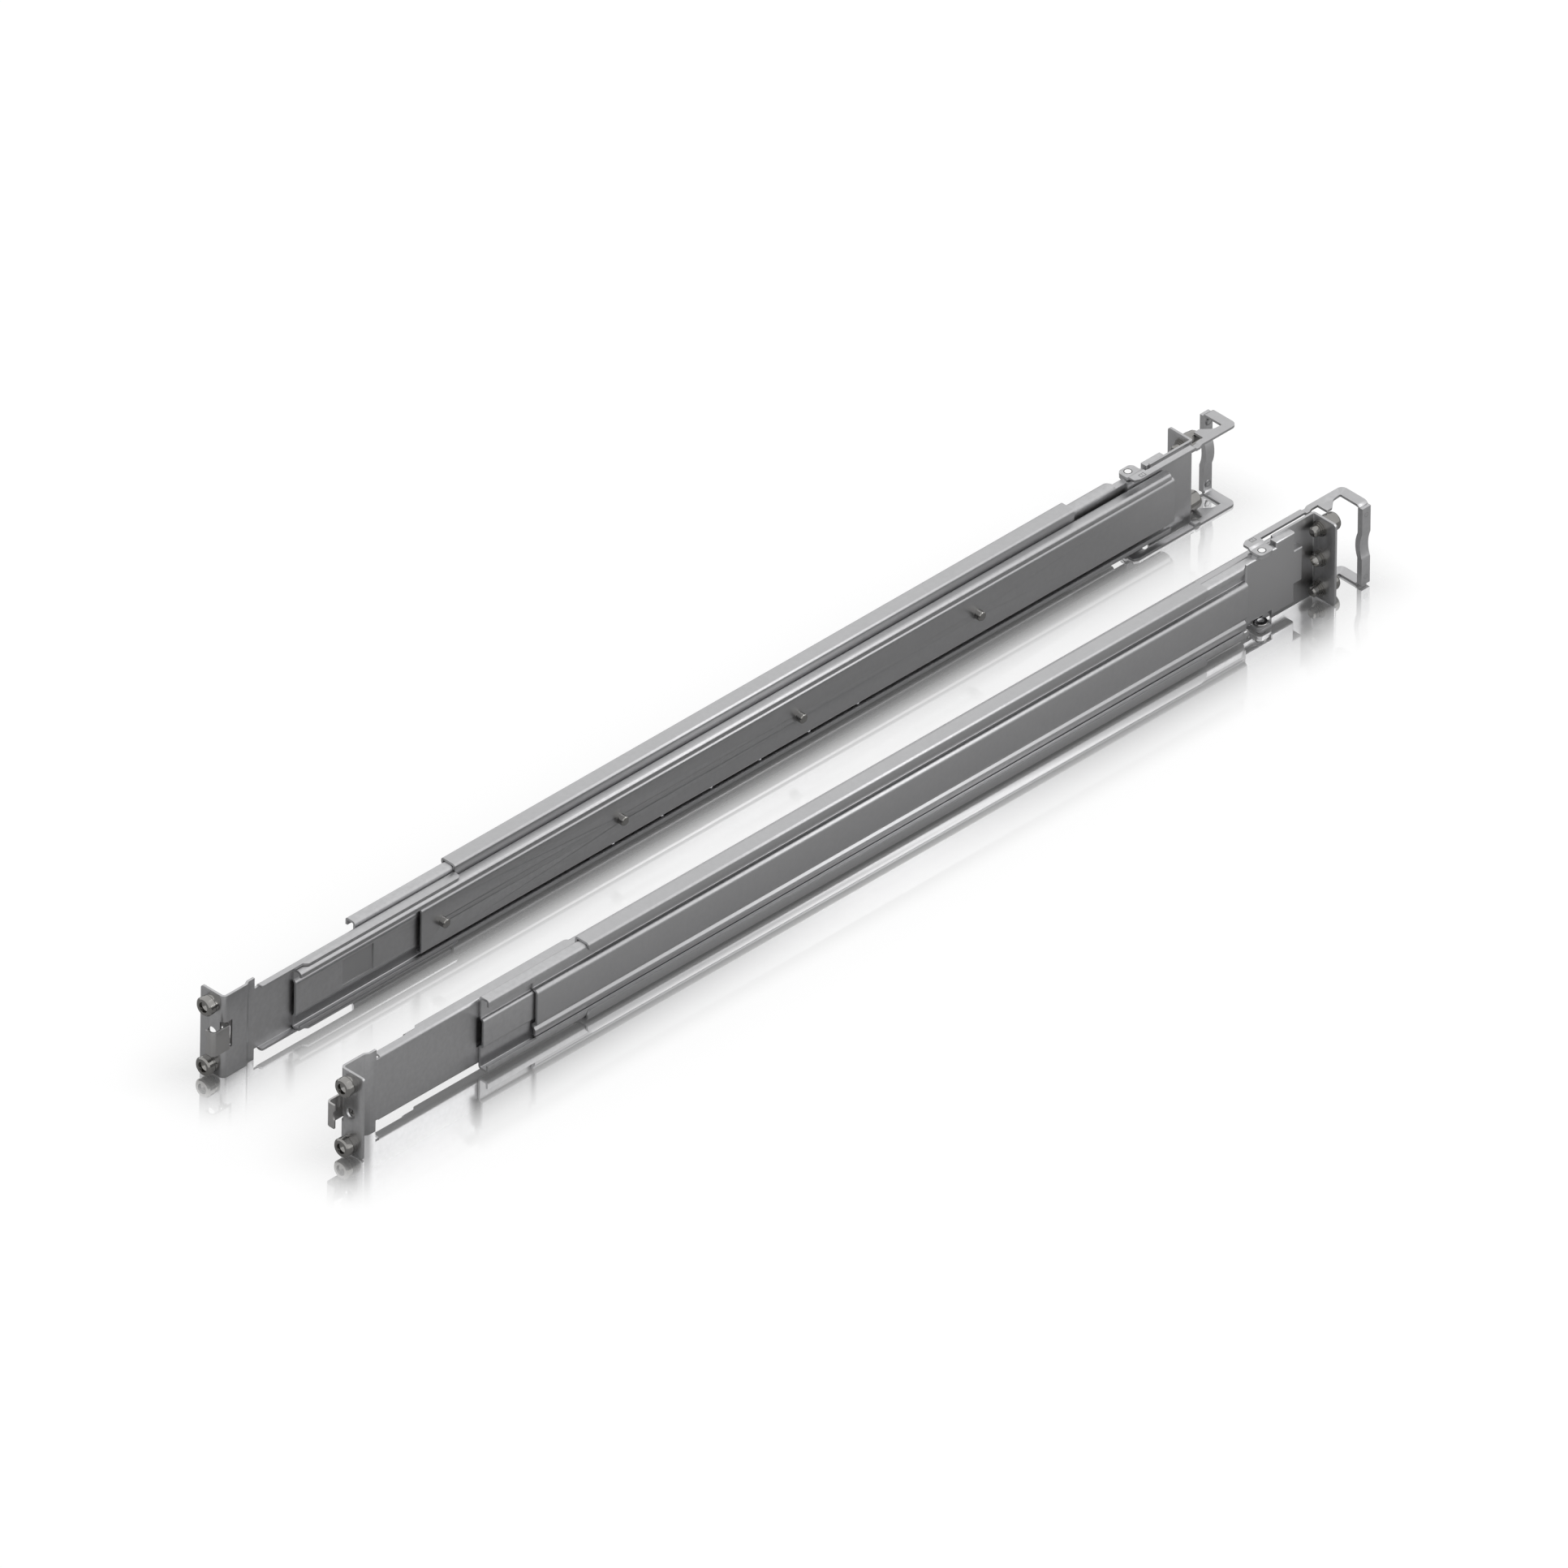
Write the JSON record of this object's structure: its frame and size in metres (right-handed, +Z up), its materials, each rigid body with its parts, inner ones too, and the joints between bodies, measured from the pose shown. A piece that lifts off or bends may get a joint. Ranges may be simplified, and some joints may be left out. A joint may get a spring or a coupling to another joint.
{
  "type": "sliding server rail pair",
  "caption": "Pair of telescoping sheet-steel slide rails for a one-unit rack server, with tool-less front hooks and sprung rear latches.",
  "frame": {"origin": "centre of the pair's bounding box, on the surface it lies on", "axes": "+Y along the rails from the front flange to the rear latch, +Z up, +X towards the right rail"},
  "size_m": [0.1024, 0.6248, 0.0432],
  "materials": {
    "zinc_plated_steel": "satin",
    "nickel_steel": "polished",
    "spring_steel": "satin",
    "cage_steel": "satin",
    "bearing_steel": "polished"
  },
  "bodies": {
    "front_units": {"front_bracket_right": "zinc_plated_steel", "front_pins_right": "nickel_steel", "hook_pivot_right": "nickel_steel", "hook_spring_right": "spring_steel", "slide_channel_right": "zinc_plated_steel", "sleeve_channel_right": "zinc_plated_steel", "sleeve_rivets_right": "nickel_steel", "front_bracket_left": "zinc_plated_steel", "front_pins_left": "nickel_steel", "hook_pivot_left": "nickel_steel", "hook_spring_left": "spring_steel", "slide_channel_left": "zinc_plated_steel", "sleeve_channel_left": "zinc_plated_steel", "sleeve_rivets_left": "nickel_steel"},
    "right_inner_slide": {"inner_slide_right": "zinc_plated_steel", "chassis_studs_right": "nickel_steel"},
    "right_ball_cages": {"ball_cages_right": "cage_steel", "slide_balls_right": "bearing_steel"},
    "right_rear_unit": {"depth_channel_right": "zinc_plated_steel", "stiffener_right": "zinc_plated_steel", "rear_bracket_right": "zinc_plated_steel", "rear_pins_right": "nickel_steel", "rear_collar_right": "nickel_steel", "latch_eyelets_right": "nickel_steel", "latch_spring_right": "spring_steel"},
    "right_latch": {"latch_arm_upper_right": "zinc_plated_steel", "latch_arm_lower_right": "zinc_plated_steel", "latch_grip_right": "zinc_plated_steel", "grip_rivets_right": "nickel_steel"},
    "right_hook": {"front_hook_right": "spring_steel"},
    "left_inner_slide": {"inner_slide_left": "zinc_plated_steel", "chassis_studs_left": "nickel_steel"},
    "left_ball_cages": {"ball_cages_left": "cage_steel", "slide_balls_left": "bearing_steel"},
    "left_rear_unit": {"depth_channel_left": "zinc_plated_steel", "stiffener_left": "zinc_plated_steel", "rear_bracket_left": "zinc_plated_steel", "rear_pins_left": "nickel_steel", "rear_collar_left": "nickel_steel", "latch_eyelets_left": "nickel_steel", "latch_spring_left": "spring_steel"},
    "left_latch": {"latch_arm_upper_left": "zinc_plated_steel", "latch_arm_lower_left": "zinc_plated_steel", "latch_grip_left": "zinc_plated_steel", "grip_rivets_left": "nickel_steel"},
    "left_hook": {"front_hook_left": "spring_steel"}
  },
  "joints": [
    {"name": "right_server_slide", "type": "slide", "parent": "front_units", "child": "right_inner_slide", "axis": [0, 1, 0], "range_m": [-0.34, 0]},
    {"name": "right_cage_slide", "type": "slide", "parent": "front_units", "child": "right_ball_cages", "axis": [0, 1, 0], "range_m": [-0.17, 0]},
    {"name": "right_depth_slide", "type": "slide", "parent": "front_units", "child": "right_rear_unit", "axis": [0, 1, 0], "range_m": [-0.03, 0.25]},
    {"name": "right_latch_swing", "type": "hinge", "parent": "right_rear_unit", "child": "right_latch", "pos_m": [0.04095, 0.2543, 0.0216], "axis": [0, 0, 1], "range_deg": [0, 18], "stiffness_Nm_per_rad": 0.2},
    {"name": "right_hook_swing", "type": "hinge", "parent": "front_units", "child": "right_hook", "pos_m": [0.03915, -0.3001, 0.0216], "axis": [0, 0, -1], "range_deg": [0, 20], "stiffness_Nm_per_rad": 0.05},
    {"name": "left_server_slide", "type": "slide", "parent": "front_units", "child": "left_inner_slide", "axis": [0, 1, 0], "range_m": [-0.34, 0]},
    {"name": "left_cage_slide", "type": "slide", "parent": "front_units", "child": "left_ball_cages", "axis": [0, 1, 0], "range_m": [-0.17, 0]},
    {"name": "left_depth_slide", "type": "slide", "parent": "front_units", "child": "left_rear_unit", "axis": [0, 1, 0], "range_m": [-0.03, 0.25]},
    {"name": "left_latch_swing", "type": "hinge", "parent": "left_rear_unit", "child": "left_latch", "pos_m": [-0.04095, 0.2543, 0.0216], "axis": [0, 0, -1], "range_deg": [0, 18], "stiffness_Nm_per_rad": 0.2},
    {"name": "left_hook_swing", "type": "hinge", "parent": "front_units", "child": "left_hook", "pos_m": [-0.03915, -0.3001, 0.0216], "axis": [0, 0, 1], "range_deg": [0, 20], "stiffness_Nm_per_rad": 0.05}
  ],
  "couplings": [
    {"joint": "right_cage_slide", "follows": "right_server_slide", "ratio": 0.5},
    {"joint": "left_cage_slide", "follows": "left_server_slide", "ratio": 0.5}
  ]
}
